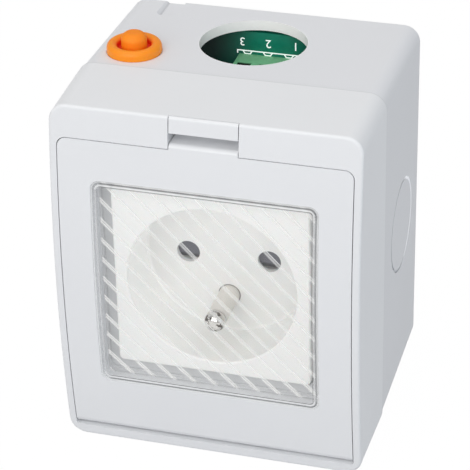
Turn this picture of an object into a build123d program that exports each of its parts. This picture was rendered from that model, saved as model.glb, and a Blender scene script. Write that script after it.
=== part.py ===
from build123d import *
import os
from math import sqrt

# Surface-mount, splash-proof smart socket with a sprung lid, in millimetres.
# The pieces are built about the socket's centre: X to the right, Y back from the foremost line of
# the curved front, Z up from the middle of the height. They are moved when written, so that the
# origin lies under the middle of the box, on the face that it stands on.

# Outer shells
box_width = 70.2
box_height = 86.6
box_depth = 61.0
front_narrowing = 0.3
front_lowering = 0.8
seam_lowering = 0.15
rear_step = 0.25
back_narrowing = 0.35
back_lowering = 0.85
corner_radius = 4.0
face_radius = 302.0
face_edge_round = 0.7
back_edge_round = 1.2
seam_depth = 23.0
seam_gap = 0.2
cover_wall = 2.3
rear_wall = 2.4
back_wall = 2.2

# Lip between the shells, and its gasket
lip_height = 1.4
lip_thickness = 1.0
lip_clearance = 0.12
shell_seal_thickness = 1.0

# Well of the front cover
cover_side_rim = 2.05
cover_band_height = 8.05
well_floor_depth = 7.6
well_floor_thickness = 2.0
lid_gap = 0.2
lid_bottom_gap = 0.3
well_bottom_radius = 0.5
collar_height = 2.4
collar_wall = 1.5

# Lid
lid_corner_radius = 2.0
lid_skin = 2.0
lid_edge_depth = 5.6
lid_edge_wall = 1.2
hinge_inset = 5.3
hinge_bead_radius = 2.2
skirt_wall = 1.5
skirt_seal_gap = 0.1
window_side_margin = 3.0
window_end_margin = 3.4
window_corner_radius = 2.2
window_thickness = 2.0
window_wall = 1.2
window_ledge = 0.6
window_ledge_height = 0.7
window_clearance = 0.05
window_inset = 0.1
rib_pitch = 3.49
rib_shift = 0.8
rib_width = 0.65
rib_height = 0.35

# Finger pull in the middle of the lid's free edge
pull_width = 15.3
pull_gap = 0.2
pull_depth = 9.0
pull_lip_height = 1.25
pull_slot_height = 2.55
pull_bar_lip = 3.6
pull_web = 1.5
pull_lip_round = 1.2
top_skin_over_pull = 1.8

# Hinge pins and closing spring
hinge_pin_radius = 0.8
hinge_bore_clearance = 0.05
hinge_bore_depth = 1.2
short_pin_hold = 6.0
spring_pocket_start = 2.2
spring_pocket_length = 6.0
long_pin_hold = 3.0
spring_wire = 0.45
spring_coil_radius = 1.25
spring_turns = 3.75
spring_end_gap = 0.7
spring_hook = 1.2
spring_end_join = 0.3
spring_leg = 2.4

# Socket module
module_size = 45.0
module_clearance = 0.35
module_front = 5.0
module_corner_radius = 1.2
module_edge_round = 0.5
recess_wall = 3.0
recess_rim_round = 0.4
recess_floor = 18.9
recess_floor_thickness = 1.2
shutter_channel_depth = 3.4
module_back = 36.8
module_back_inset = 0.5
contact_spacing = 19.0
contact_hole_radius = 2.7
contact_radius = 3.5
contact_bore_radius = 2.45
contact_length = 10.0
contact_slit = 0.8
chamber_clearance = 0.7
tail_width = 5.0
tail_thickness = 0.8
tail_clearance = 0.06
earth_offset = 10.0
earth_pin_radius = 2.4
earth_pin_length = 13.8
earth_pin_groove = 0.25
earth_shank_radius = 2.0
earth_clearance = 0.04
earth_collar_radius = 3.1
earth_strap_drop = 4.2
shutter_width = 27.0
shutter_height = 6.8
shutter_travel = 6.2
shutter_clearance = 0.2
shutter_spring_radius = 1.2
shutter_spring_wire = 0.3
shutter_spring_length = 11.2
shutter_spring_turns = 5
ear_wall_gap = 2.45
ear_radius = 4.0
ear_screw_gap = 0.3
ear_front = 30.2
ear_thickness = 2.8

# Door gasket on the well's floor
seal_margin = 0.4
seal_overlap = 0.5
seal_thickness = 1.2

# Screws
shell_screw_inset_x = 4.3
shell_screw_inset_z = 5.75
shell_boss_radius = 3.6
shell_screw_length = 24.0
screw_radius = 1.5
screw_hole_clearance = 0.15
screw_head_radius = 2.5
screw_head_height = 2.0
screw_head_clearance = 0.3
head_recess_depth = 2.8
module_boss_radius = 3.4
module_screw_length = 12.0
wall_hole_inset = 5.45
wall_hole_z = 17.5
wall_hole_radius = 2.2

# Rear box openings
gland_radius = 12.25
gland_to_back = 18.7
knockout_radius = 11.3
knockout_groove_width = 0.6
knockout_groove_depth = 0.4
notch_from_side = 9.4
notch_width = 3.7
notch_length = 8.25
notch_sink = 0.85
notch_corner_radius = 0.9
notch_draft = 35

# Push button
button_from_side = 10.5
button_from_seam = 8.3
boot_radius = 6.2
boot_height = 2.25
boot_inner_radius = 3.8
boot_foot_round = 0.5
boot_neck_radius = 4.55
boot_neck_clearance = 0.05
boot_flange_radius = 6.0
boot_flange_height = 1.0
boot_floor_height = 0.6
boot_floor_thickness = 0.8
boot_seat_sink = 0.3
cap_radius = 2.9
cap_clearance = 0.05
cap_rise = 4.6
cap_round = 1.75
cap_flange_radius = 3.5
cap_flange_height = 0.9
cap_stem_radius = 1.6
button_travel = 0.8

# Boards
board_back_gap = 2.0
board_thickness = 1.6
board_edge_gap = 0.9
board_post_gap = 0.8
board_bar_height = 5.5
standoff_inset_x = 3.7
standoff_inset_z = 2.8
standoff_radius = 2.6
board_screw_radius = 1.0
board_screw_length = 3.6
button_board_drop = 4.2
button_board_width = 14.0
button_board_reach = 4.9
button_board_gap = 1.8
inner_screw_x = 4.8
inner_screw_y = 8.0
outer_screw_x = 4.0
outer_screw_y = 6.4
button_boss_radius = 2.2
header_shift = 3.35
header_pitch = 2.0
header_pins = 4
header_pin_width = 0.5
header_height = 2.2
header_depth = 2.6
header_inset = 0.4
switch_size = 6.0
switch_height = 2.7
switch_plunger_radius = 1.7
switch_clearance = 0.08

# Terminal block
pole_pitch = 5.08
pole_count = 3
terminal_x = 0.5
terminal_depth = 10.0
terminal_inset = 5.75
terminal_height = 7.7
terminal_step = 1.2
wire_entry_size = 3.2
wire_entry_front = 2.2
wire_entry_depth = 6.0
terminal_screw_radius = 1.7
clamp_wall = 0.4
clamp_drop = 2.0

# Parts on the main board
relay_gap = 3.0
relay_edge = 1.8
relay_low = 5.0
relay_middle = 4.6
power_gap = 4.2
power_edge = 0.8
power_low = 4.6
power_middle = 2.0
power_rim = 1.0
power_sink = 0.5
part_spacing = 1.5
film_height = 11.0
film_edge = 0.6
film_width = 7.8
film_top = -13.5
film_foot = 7.75
can_radius = 4.0
can_height = 12.0
can_edge = 0.6
can_foot = 12.25
can_pitch = 10.0
can_mark_width = 0.4
can_mark_depth = 0.2
varistor_radius = 4.6
varistor_thickness = 4.2
varistor_edge = 1.8
varistor_z = -6.4
varistor_lead = 0.4
varistor_lead_pitch = 5.0
varistor_lead_length = 1.8
fuse_radius = 2.4
fuse_height = 8.0
fuse_edge = 4.3
fuse_z = -5.2
drum_radius = 3.2
drum_core_radius = 2.4
drum_flange = 0.8
drum_height = 7.2
drum_x = -12.0
drum_foot = 3.35
radio_left = -9.5
radio_top = -17.0
radio_foot = 6.25
radio_can_gap = 1.7
radio_thickness = 0.8
shield_rim = 1.0
shield_aerial_room = 6.0
shield_height = 2.4

# Values worked out from those above
pole_block = pole_pitch * pole_count
well_half = box_width / 2 - cover_side_rim
lid_half = well_half - lid_gap
well_top = box_height / 2 - cover_band_height
lid_top = well_top - lid_gap
hinge_height = hinge_inset - box_height / 2
hinge_depth = face_radius - sqrt((face_radius - hinge_bead_radius) ** 2 - hinge_height ** 2)
face_edge_depth = face_radius - sqrt(face_radius**2 - (box_height / 2) ** 2) + face_edge_round
well_bottom = hinge_height - hinge_bead_radius - lid_bottom_gap
pull_lip_top = lid_top + pull_lip_height
pull_bar_bottom = pull_lip_top + pull_slot_height
inner_front = well_floor_depth + well_floor_thickness
cover_inner_x = box_width / 2 - cover_wall
cover_inner_z = box_height / 2 - seam_lowering - cover_wall
rear_x = box_width / 2 - rear_step
rear_z = box_height / 2 - seam_lowering - rear_step
rear_inner_x = rear_x - rear_wall
rear_inner_z = rear_z - rear_wall
rear_start = seam_depth + seam_gap
inner_back = box_depth - back_wall
gland_depth = box_depth - gland_to_back
module_half = module_size / 2
back_half = module_half - module_back_inset
recess_radius = module_half - recess_wall
module_split = recess_floor + recess_floor_thickness
channel_end = module_split + shutter_channel_depth
window_half_x = module_half + window_side_margin
window_half_z = module_half + window_end_margin
window_seat_x = window_half_x + window_clearance
window_seat_z = window_half_z + window_clearance
skirt_end = well_floor_depth - seal_thickness - skirt_seal_gap
window_end = skirt_end - window_ledge_height
skirt_outer_x = window_seat_x + skirt_wall
skirt_outer_z = window_seat_z + skirt_wall
skirt_radius = window_corner_radius + skirt_wall
shell_screw_x = cover_inner_x - shell_screw_inset_x
shell_screw_z = well_top - shell_screw_inset_z
wall_hole_x = rear_inner_x - wall_hole_inset
ear_offset = rear_inner_x - ear_wall_gap - ear_radius
board_back = inner_back - board_back_gap
board_front = board_back - board_thickness
board_half_z = rear_inner_z - back_lowering - board_edge_gap
board_half_x = rear_inner_x - back_narrowing - board_edge_gap
board_waist = ear_offset - module_boss_radius - board_post_gap
standoff_x = board_half_x - standoff_inset_x
standoff_z = board_half_z - standoff_inset_z
shutter_front = module_split + shutter_clearance
button_x = button_from_side - box_width / 2
button_y = rear_start + button_from_seam
button_board_left = button_x - button_board_width / 2
button_board_top = rear_inner_z - button_board_drop
button_board_front = button_y - button_board_reach
button_board_back = board_front - button_board_gap
header_x = button_x + header_shift
inner_screw = (button_x + inner_screw_x, button_y + inner_screw_y)
outer_screw = (button_x - outer_screw_x, button_board_back - outer_screw_y)
terminal_top = board_half_z - terminal_inset
terminal_bottom = terminal_top - terminal_height
parts_top = terminal_bottom - part_spacing
can_x = board_waist - can_edge - can_radius
seat_slope = back_lowering / (box_depth - rear_start)
button_seat = rear_z - seat_slope * (button_y - rear_start) - boot_seat_sink
switch_top = button_board_top + switch_height
plunger_top = switch_top + button_travel + 0.2


def outline(half_x, half_z, radius, x=0.0, z=0.0):
    """Rounded rectangle seen from the front, given by its half sizes."""
    return Pos(x, z) * RectangleRounded(2 * half_x, 2 * half_z, radius)


def front_plane(y):
    """Plane at depth y whose sketch axes are X and Z and whose normal points to the front."""
    return Plane(origin=(0, y, 0), x_dir=(1, 0, 0), z_dir=(0, -1, 0))


def slab(sketch, y_front, y_back):
    """Prism of a front-view sketch between two depths."""
    return extrude(front_plane(y_back) * sketch, amount=y_back - y_front)


def block(x, y, z):
    """Box between two corners, given as a pair of limits along each axis."""
    size = Box(x[1] - x[0], y[1] - y[0], z[1] - z[0])
    return Pos((x[0] + x[1]) / 2, (y[0] + y[1]) / 2, (z[0] + z[1]) / 2) * size


def rod_y(radius, x, z, y_front, y_back):
    """Cylinder along the depth."""
    return slab(Pos(x, z) * Circle(radius), y_front, y_back)


def rod_x(radius, y, z, x_low, x_high):
    """Cylinder along the width."""
    turned = Plane(origin=(x_low, y, z), x_dir=(0, 1, 0), z_dir=(1, 0, 0))
    return extrude(turned * Circle(radius), amount=x_high - x_low)


def rod_z(radius, x, y, z_low, z_high):
    """Cylinder along the height."""
    level = Plane(origin=(x, y, z_low))
    return extrude(level * Circle(radius), amount=z_high - z_low)


def face_drum(inset):
    """Solid drum whose front is the curved face, set back by an inset."""
    reach = box_width + 20
    return rod_x(face_radius - inset, face_radius, 0, -reach, reach)


def four_corners(x, z):
    """The four places at plus and minus x and z."""
    return [(sx * x, sz * z) for sx in (-1, 1) for sz in (-1, 1)]


def cover_envelope():
    """Outer form of the front cover: drafted sides, curved front, rounded front edge."""
    front_x = box_width / 2 - front_narrowing
    front_z = (box_height - front_lowering) / 2
    front = outline(front_x, front_z, corner_radius, z=-front_lowering / 2)
    seam = outline(box_width / 2, box_height / 2 - seam_lowering, corner_radius)
    body = loft([front_plane(face_edge_depth) * front, front_plane(seam_depth) * seam], ruled=True)
    body = (body + slab(front, -1, face_edge_depth)) & face_drum(0)
    rim = body.edges().filter_by(lambda edge: edge.bounding_box().max.Y < seam_depth - 5)
    rim = rim.filter_by(lambda edge: edge.length > face_edge_round)
    return fillet(rim, face_edge_round)


def well_outline():
    """Outline of the well that the lid lies in."""
    sketch = Pos(0, (well_top + well_bottom) / 2) * Rectangle(2 * well_half, well_top - well_bottom)
    sketch = fillet(sketch.vertices().group_by(Axis.Y)[-1], lid_corner_radius + lid_gap)
    return fillet(sketch.vertices().group_by(Axis.Y)[0], well_bottom_radius)


def pull_recess():
    """Room in the front cover for the finger pull, open at the front edge of the top."""
    half = pull_width / 2 + pull_gap
    roof = box_height / 2 - top_skin_over_pull
    room = block((-half, half), (-5, pull_depth + pull_gap + 0.1), (well_top - 1, roof))
    mouth = block((-half, half), (-5, pull_bar_lip + pull_gap), (roof - 1, roof + box_height))
    return room + mouth


def band_pockets():
    """Hollows behind the band over the lid, one on each side of the finger pull."""
    side = pull_width / 2 + pull_gap + cover_wall
    pockets = []
    for sign in (-1, 1):
        x = sorted((sign * side, sign * (cover_inner_x - 1)))
        z = (well_top + cover_wall, cover_inner_z)
        pockets.append(block(x, (2 * cover_wall, inner_front + 1), z))
    return pockets


def make_front_cover():
    """Front cover: rim, well with its floor, socket opening, bosses, lip and hinge bores."""
    body = cover_envelope()
    body -= slab(outline(cover_inner_x, cover_inner_z, corner_radius - 1.5), inner_front, box_depth)
    for pocket in band_pockets():
        body -= pocket
    half = pull_width / 2 + pull_gap + cover_wall
    housing_z = (well_top - 1, cover_inner_z + 0.5)
    body += block((-half, half), (inner_front - 1, pull_depth + cover_wall), housing_z)
    collar = module_half + module_clearance + collar_wall
    body += slab(outline(collar, collar, 2.5), inner_front - 0.5, inner_front + collar_height)
    for x, z in four_corners(shell_screw_x, shell_screw_z):
        body += rod_y(shell_boss_radius, x, z, inner_front - 0.5, seam_depth)
    lip_x = rear_inner_x + lip_thickness
    lip_z = rear_inner_z + lip_thickness
    lip = outline(lip_x, lip_z, corner_radius - 1.3)
    lip -= outline(rear_inner_x, rear_inner_z, corner_radius - 2.3)
    body += slab(lip, seam_depth - 2.5, rear_start + lip_height)
    body -= slab(well_outline(), -5, well_floor_depth)
    body -= pull_recess()
    opening = module_half + module_clearance
    body -= slab(outline(opening, opening, 1.4), 0, seam_depth)
    for x, z in four_corners(shell_screw_x, shell_screw_z):
        body -= rod_y(screw_radius + screw_hole_clearance, x, z, 0, box_depth)
        head = screw_head_radius + screw_head_clearance
        body -= rod_y(head, x, z, 0, well_floor_depth + head_recess_depth)
    bore = hinge_pin_radius + hinge_bore_clearance
    reach = well_half + hinge_bore_depth
    body -= rod_x(bore, hinge_depth, hinge_height, -reach, reach)
    return body


def rear_envelope():
    """Outer form of the rear box, tapering to the wall, with a rounded back edge."""
    seam = front_plane(rear_start) * outline(rear_x, rear_z, corner_radius - 0.1)
    back_x = rear_x - back_narrowing
    back_z = rear_z - back_lowering
    back = front_plane(box_depth) * outline(back_x, back_z, corner_radius - 0.1)
    body = loft([seam, back], ruled=True)
    rim = body.faces().sort_by(Axis.Y)[-1].edges()
    return fillet(rim, back_edge_round)


def rear_bosses():
    """Posts of the rear box for the shell, module and board screws."""
    posts = []
    for x, z in four_corners(shell_screw_x, shell_screw_z):
        posts.append(rod_y(shell_boss_radius, x, z, rear_start, inner_back + 0.5))
    for sign in (-1, 1):
        start = ear_front + ear_thickness
        posts.append(rod_y(module_boss_radius, sign * ear_offset, 0, start, inner_back + 0.5))
    for x, z in four_corners(standoff_x, standoff_z):
        posts.append(rod_y(standoff_radius, x, z, board_back, inner_back + 0.5))
    return posts


def rear_screw_holes():
    """Core holes for the screws, and the four holes that fix the box to a wall."""
    core = screw_radius - 0.2
    holes = []
    for x, z in four_corners(shell_screw_x, shell_screw_z):
        holes.append(rod_y(core, x, z, 0, seam_depth + shell_screw_length - 10))
    for sign in (-1, 1):
        start = ear_front + ear_thickness
        holes.append(rod_y(core, sign * ear_offset, 0, start - 1, start + module_screw_length))
    for x, z in four_corners(standoff_x, standoff_z):
        end = board_back + board_screw_length - 0.4
        holes.append(rod_y(board_screw_radius, x, z, board_back - 1, end))
    for x, z in four_corners(wall_hole_x, wall_hole_z):
        holes.append(rod_y(wall_hole_radius, x, z, inner_back - 1, box_depth + 1))
    return holes


def knockout_cut(sign):
    """Thin round groove in a side wall, the outline of the knock-out for a second cable."""
    face = rear_x - back_narrowing * (gland_depth - rear_start) / (box_depth - rear_start)
    low, high = sorted((sign * (face - knockout_groove_depth), sign * (face + 2)))
    ring = rod_x(knockout_radius, gland_depth, 0, low, high)
    return ring - rod_x(knockout_radius - knockout_groove_width, gland_depth, 0, low - 1, high + 1)


def notch_cut():
    """Notch in the top's back edge, with drafted walls and rounded front corners."""
    middle = notch_from_side - box_width / 2 + notch_width / 2
    floor = Plane(origin=(middle, box_depth, rear_z - back_lowering - notch_sink))
    sketch = Rectangle(notch_width, 2 * notch_length)
    sketch = fillet(sketch.vertices().group_by(Axis.Y)[0], notch_corner_radius)
    return extrude(floor * sketch, amount=2 * notch_sink, taper=-notch_draft)


def make_rear_box():
    """Rear box: drafted shell with the cable hole, button seat, notch, knock-outs and posts."""
    body = rear_envelope()
    seam = front_plane(rear_start - 1) * outline(rear_inner_x, rear_inner_z, corner_radius - 2.3)
    back_x = rear_inner_x - back_narrowing
    back_z = rear_inner_z - back_lowering
    back = front_plane(inner_back) * outline(back_x, back_z, corner_radius - 2.3)
    body -= loft([seam, back], ruled=True)
    for post in rear_bosses():
        body += post
    for x, y in (inner_screw, outer_screw):
        body += rod_z(button_boss_radius, x, y, button_board_top, rear_inner_z)
    seat_x = rear_inner_x + lip_thickness + lip_clearance
    seat_z = rear_inner_z + lip_thickness + lip_clearance
    seat_end = rear_start + lip_height + shell_seal_thickness
    ring = outline(seat_x, seat_z, corner_radius - 1.2)
    ring -= outline(rear_inner_x - 0.1, rear_inner_z - 0.1, corner_radius - 2.3)
    body -= slab(ring, rear_start - 1, seat_end)
    for hole in rear_screw_holes():
        body -= hole
    body -= rod_z(gland_radius, 0, gland_depth, rear_inner_z - 4, box_height)
    body -= rod_z(boot_radius + 0.1, button_x, button_y, button_seat, box_height)
    neck = boot_neck_radius + boot_neck_clearance
    body -= rod_z(neck, button_x, button_y, rear_inner_z - 2, box_height)
    body -= notch_cut()
    for sign in (-1, 1):
        body -= knockout_cut(sign)
    for x, y in (inner_screw, outer_screw):
        end = button_board_top + board_screw_length - 0.6
        body -= rod_z(board_screw_radius - 0.2, x, y, button_board_top - 1, end)
    return body


def make_shell_seal():
    """Gasket at the foot of the lip groove, between the two shells."""
    outer = outline(rear_inner_x + lip_thickness, rear_inner_z + lip_thickness, corner_radius - 1.3)
    inner = outline(rear_inner_x, rear_inner_z, corner_radius - 2.3)
    start = rear_start + lip_height + 0.02
    return slab(outer - inner, start, start + shell_seal_thickness - 0.04)


def pull_block(envelope):
    """Finger pull: a lip, a web behind the finger slot and a bar flush with the front band."""
    half = pull_width / 2
    lip = block((-half, half), (2, lid_edge_depth), (lid_top - 2.5, pull_lip_top))
    lip += block((-half, half), (2, pull_depth), (lid_top - 0.3, pull_lip_top))
    edge = lip.edges().filter_by(Axis.X).group_by(Axis.Y)[0].sort_by(Axis.Z)[-1]
    lip = fillet(edge, pull_lip_round)
    web = block((-half, half), (pull_depth - pull_web, pull_depth), (lid_top - 0.3, pull_bar_bottom + 1))
    roof = box_height / 2 - top_skin_over_pull - pull_gap
    bar = block((-half, half), (-1, pull_depth), (pull_bar_bottom, roof))
    bar += block((-half, half), (-1, pull_bar_lip), (roof - 1, box_height / 2 + 1))
    return (lip + web + bar) & envelope


def lid_outline(inset):
    """Lid outline down to the hinge bead, with its two rounded free corners."""
    half = lid_half - inset
    top = lid_top - inset
    radius = max(lid_corner_radius - inset, 0.4)
    sketch = Pos(0, (top + hinge_height) / 2) * Rectangle(2 * half, top - hinge_height)
    return fillet(sketch.vertices().group_by(Axis.Y)[-1], radius)


def make_lid_frame():
    """Lid: curved skin with returned edges, window seat and skirt, hinge bead and finger pull."""
    body = slab(lid_outline(0), -5, lid_edge_depth) & face_drum(0)
    hollow = slab(lid_outline(lid_edge_wall), -5, lid_edge_depth + 1) & face_drum(lid_skin)
    body -= hollow
    skirt = slab(outline(skirt_outer_x, skirt_outer_z, skirt_radius), 0, skirt_end)
    body += skirt & face_drum(lid_skin - 0.5)
    bead = rod_x(hinge_bead_radius, hinge_depth, hinge_height, -lid_half, lid_half)
    body += bead
    body += pull_block(cover_envelope())
    body -= slab(outline(window_seat_x, window_seat_z, window_corner_radius), -5, window_end)
    inner_x = window_seat_x - window_ledge
    inner_z = window_seat_z - window_ledge
    body -= slab(outline(inner_x, inner_z, window_corner_radius - window_ledge), -5, box_depth)
    pocket_low = -lid_half + spring_pocket_start
    pocket_high = pocket_low + spring_pocket_length
    coil_room = spring_coil_radius + spring_wire / 2 + 0.2
    body -= rod_x(coil_room, hinge_depth, hinge_height, pocket_low, pocket_high)
    pocket_z = (hinge_height - coil_room, hinge_height + coil_room)
    body -= block((pocket_low, pocket_high), (hinge_depth, hinge_depth + 4), pocket_z)
    leg_room = spring_wire / 2 + 0.03
    leg_y = hinge_depth + spring_coil_radius
    body -= rod_x(leg_room, leg_y, hinge_height, pocket_low - spring_hook - 0.1, pocket_low + 1)
    bore = hinge_pin_radius + 0.01
    body -= rod_x(bore, hinge_depth, hinge_height, -lid_half - 1, pocket_high + long_pin_hold)
    body -= rod_x(bore, hinge_depth, hinge_height, lid_half - short_pin_hold, lid_half + 1)
    return body


def window_ribs(half_x, half_z):
    """Slanting ribs that cross a rectangle, seen from the front."""
    reach = (half_x + half_z) / sqrt(2)
    count = int(reach / rib_pitch)
    ribs = None
    for step in range(-count, count + 1):
        offset = rib_shift + step * rib_pitch
        if abs(offset) > reach - rib_width:
            continue
        bar = Rot(0, 0, -45) * Pos(0, offset) * Rectangle(4 * reach, rib_width)
        bar = bar & Rectangle(2 * half_x, 2 * half_z)
        ribs = bar if ribs is None else ribs + bar
    return ribs


def make_lid_window():
    """Clear cap of the lid: curved plate, side walls behind it, slanting ribs on its back."""
    body = slab(outline(window_half_x, window_half_z, window_corner_radius), -5, window_end - 0.05)
    body &= face_drum(window_inset)
    half_x = window_half_x - window_wall
    half_z = window_half_z - window_wall
    room = slab(outline(half_x, half_z, window_corner_radius - window_wall), -5, lid_edge_depth + 5)
    plate_back = window_inset + window_thickness
    body -= room & face_drum(plate_back)
    ribs = slab(window_ribs(half_x + 0.1, half_z + 0.1), -5, window_end - 0.5)
    ribs &= face_drum(plate_back - 0.2)
    ribs -= face_drum(plate_back + rib_height)
    return body + ribs


def make_lid_seal():
    """Flat gasket on the well's floor, round the socket module and under the lid's skirt."""
    inner = module_half + seal_margin
    outer_x = skirt_outer_x + seal_overlap
    outer_z = skirt_outer_z + seal_overlap
    ring = outline(outer_x, outer_z, skirt_radius + seal_overlap) - outline(inner, inner, 1.4)
    return slab(ring, well_floor_depth - seal_thickness, well_floor_depth)


def make_hinge_pins():
    """Two steel pins held in the ends of the bead, turning in the cover's side walls."""
    tip = well_half + hinge_bore_depth - 0.1
    pocket_high = -lid_half + spring_pocket_start + spring_pocket_length
    long_pin = rod_x(hinge_pin_radius, hinge_depth, hinge_height, -tip, pocket_high + long_pin_hold - 0.1)
    short_pin = rod_x(hinge_pin_radius, hinge_depth, hinge_height, lid_half - short_pin_hold + 0.1, tip)
    return long_pin + short_pin


def coil(radius, wire, length, turns):
    """Helical coil of round wire along Z, starting at the origin."""
    path = Helix(pitch=length / turns, height=length, radius=radius)
    section = Plane(path @ 0, z_dir=path % 0) * Circle(wire / 2)
    return sweep(section, path=path)


def make_hinge_spring():
    """Torsion spring round the long pin: one end hooked in the bead, one leg to the well's floor."""
    low = -lid_half + spring_pocket_start + spring_end_gap
    length = spring_pocket_length - 2 * spring_end_gap
    turned = Plane(origin=(low, hinge_depth, hinge_height), x_dir=(0, 1, 0), z_dir=(1, 0, 0))
    body = turned * coil(spring_coil_radius, spring_wire, length, spring_turns)
    end_radius = 0.45 * spring_wire
    hook = low - spring_end_gap - spring_hook
    body += rod_x(end_radius, hinge_depth + spring_coil_radius, hinge_height, hook, low + spring_end_join)
    leg_z = hinge_height - spring_coil_radius
    leg = (hinge_depth - spring_end_join, hinge_depth + spring_leg)
    return body + rod_y(end_radius, low + length, leg_z, leg[0], leg[1])


def screw(head_radius, head_height, radius, length, drive=0.7):
    """Pan-head screw along Z with its head above the origin and a cross drive."""
    head = Cylinder(head_radius, head_height, align=(Align.CENTER, Align.CENTER, Align.MIN))
    head = fillet(head.edges().sort_by(Axis.Z)[-1], head_height * 0.4)
    body = head + rod_z(radius, 0, 0, -length, 0.1)
    for turn in (0, 90):
        slot = Rot(0, 0, turn) * Box(head_radius * 1.2, drive, head_height)
        body -= Pos(0, 0, head_height) * slot
    return body


def facing_front(piece, x, y, z):
    """Turn a piece built along Z to face the front, at a place."""
    return Pos(x, y, z) * Rot(90, 0, 0) * piece


def make_shell_screws():
    """Four screws that hold the front cover to the rear box."""
    seat = well_floor_depth + head_recess_depth
    shape = screw(screw_head_radius, screw_head_height, screw_radius - 0.22, shell_screw_length)
    return [facing_front(shape, x, seat, z) for x, z in four_corners(shell_screw_x, shell_screw_z)]


def make_socket_body():
    """Front half of the socket module: square face, round plug recess and its floor with holes."""
    body = slab(outline(module_half, module_half, module_corner_radius), module_front, module_split)
    front = body.faces().sort_by(Axis.Y)[0]
    body = fillet(front.edges(), module_edge_round)
    body -= rod_y(recess_radius, 0, 0, 0, recess_floor)
    rim = body.edges().filter_by(lambda edge: edge.length > 6 * recess_radius).sort_by(Axis.Y)[0]
    body = fillet(rim, recess_rim_round)
    for sign in (-1, 1):
        body -= rod_y(contact_hole_radius, sign * contact_spacing / 2, 0, 0, box_depth)
    return body - rod_y(earth_shank_radius + earth_clearance, 0, -earth_offset, 0, box_depth)


def make_socket_shutter():
    """Shutter behind the contact holes, with a ramp at each hole for the plug's pins."""
    half = shutter_width / 2
    back = channel_end - shutter_clearance
    body = block((-half, half), (shutter_front, back), (-shutter_height / 2, shutter_height / 2))
    ramp = shutter_height * 0.45
    for sign in (-1, 1):
        x = sign * contact_spacing / 2
        wedge = Rot(45, 0, 0) * Box(2 * contact_hole_radius + 1, ramp, ramp)
        body -= Pos(x, shutter_front, -shutter_height / 2) * wedge
    return body


def make_shutter_spring():
    """Compression spring that pushes the shutter back over the holes."""
    y = (module_split + channel_end) / 2
    wire = shutter_spring_wire
    shape = coil(shutter_spring_radius, wire, shutter_spring_length - wire - 0.1, shutter_spring_turns)
    return Pos(0, y, shutter_height / 2 + wire / 2 + 0.05) * shape


def make_socket_back():
    """Rear half of the socket module: shutter channel, contact chambers, tail slots and ears."""
    body = slab(outline(back_half, back_half, 1.5), module_split, module_back)
    for sign in (-1, 1):
        body = add_ear(body, sign)
    body -= shutter_channel()
    chamber = contact_radius + chamber_clearance
    for sign in (-1, 1):
        x = sign * contact_spacing / 2
        body -= rod_y(chamber, x, 0, 0, module_back - 1.5)
        body -= tail_room(x, 0)
    strap_z = -earth_offset - earth_strap_drop
    room_x = earth_collar_radius + chamber_clearance
    room_z = (strap_z - 1, -earth_offset + earth_collar_radius + chamber_clearance)
    body -= block((-room_x, room_x), (0, module_split + 4), room_z)
    return body - tail_room(0, strap_z)


def add_ear(body, sign):
    """Add a screw ear to a side of the rear half, with room for the screw's head and post."""
    x = sign * ear_offset
    body -= rod_y(screw_head_radius + ear_screw_gap, x, 0, 0, ear_front)
    body -= rod_y(module_boss_radius + ear_screw_gap, x, 0, ear_front + ear_thickness, box_depth)
    ear = outline(ear_radius, ear_radius, ear_radius - 0.2, x=x)
    arm_half = (ear_offset - back_half + ear_radius) / 2
    arm = Pos(sign * (ear_offset - arm_half)) * Rectangle(2 * arm_half, 2 * ear_radius)
    body += slab(ear + arm, ear_front, ear_front + ear_thickness)
    return body - rod_y(screw_radius + screw_hole_clearance, x, 0, 0, box_depth)


def shutter_channel():
    """Room in which the shutter slides, with the room of its spring above."""
    half = shutter_width / 2 + shutter_clearance
    low = -shutter_height / 2 - shutter_clearance
    high = shutter_height / 2 + shutter_travel + shutter_clearance
    channel = block((-half, half), (module_split - 1, channel_end), (low, high))
    room = shutter_spring_radius + shutter_spring_wire / 2 + shutter_clearance
    top = shutter_height / 2 + shutter_spring_length + 0.1
    return channel + block((-room, room), (module_split - 1, channel_end), (0, top))


def tail_room(x, z):
    """Slot for a contact tail, all the way back."""
    half_x = tail_width / 2 + tail_clearance
    half_z = tail_thickness / 2 + tail_clearance
    return block((x - half_x, x + half_x), (module_split, box_depth), (z - half_z, z + half_z))


def tail(x, z, y_front):
    """Flat tail of a contact, from a depth to just behind the main board."""
    half_x = tail_width / 2
    half_z = tail_thickness / 2
    return block((x - half_x, x + half_x), (y_front, board_back + 1), (z - half_z, z + half_z))


def make_contact(sign):
    """Sprung tube contact with crossed slits and a flat tail that reaches the main board."""
    x = sign * contact_spacing / 2
    start = channel_end + 0.8
    end = start + contact_length
    body = rod_y(contact_radius, x, 0, start, end)
    body -= rod_y(contact_bore_radius, x, 0, 0, end - 1.2)
    half = contact_slit / 2
    body -= block((x - half, x + half), (0, end - 3), (-10, 10))
    body -= block((x - 10, x + 10), (0, end - 3), (-half, half))
    return body + tail(x, 0, end - 0.6)


def make_earth_pin():
    """Earth pin with a domed tip, a fine groove, a thinner shank and a collar behind the floor."""
    tip = recess_floor - earth_pin_length
    body = rod_y(earth_pin_radius, 0, -earth_offset, tip, recess_floor)
    end = body.edges().filter_by(GeomType.CIRCLE).sort_by(Axis.Y)[0]
    body = fillet(end, earth_pin_radius * 0.8)
    groove = rod_y(earth_pin_radius + 1, 0, -earth_offset, tip + 2.9, tip + 3.2)
    groove -= rod_y(earth_pin_radius - earth_pin_groove, 0, -earth_offset, 0, box_depth)
    body -= groove
    body += rod_y(earth_shank_radius, 0, -earth_offset, recess_floor - 1, module_split + 2.4)
    return body + rod_y(earth_collar_radius, 0, -earth_offset, module_split + 0.05, module_split + 1.2)


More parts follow.
